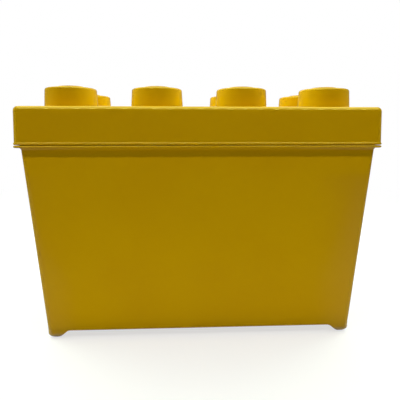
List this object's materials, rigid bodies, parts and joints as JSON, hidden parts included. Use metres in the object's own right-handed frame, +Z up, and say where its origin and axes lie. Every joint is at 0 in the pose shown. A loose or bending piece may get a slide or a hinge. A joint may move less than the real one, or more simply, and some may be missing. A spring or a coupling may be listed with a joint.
{
  "type": "building block storage box",
  "caption": "Tapered open storage tub on corner feet with a lift-off lid that carries round studs, in the shape of a large toy building block.",
  "frame": {"origin": "under the middle of the box, level with the soles of its feet", "axes": "+X along the box's length, +Y from the front to the back, +Z up"},
  "size_m": [0.3758, 0.1918, 0.2724],
  "materials": {
    "yellow_plastic": "gloss"
  },
  "bodies": {
    "tub": {"tub": "yellow_plastic"},
    "lid": {"lid": "yellow_plastic"}
  },
  "joints": [
    {"name": "lid_lift", "type": "slide", "parent": "tub", "child": "lid", "axis": [0, 0, 1], "range_m": [0, 0.15]}
  ]
}
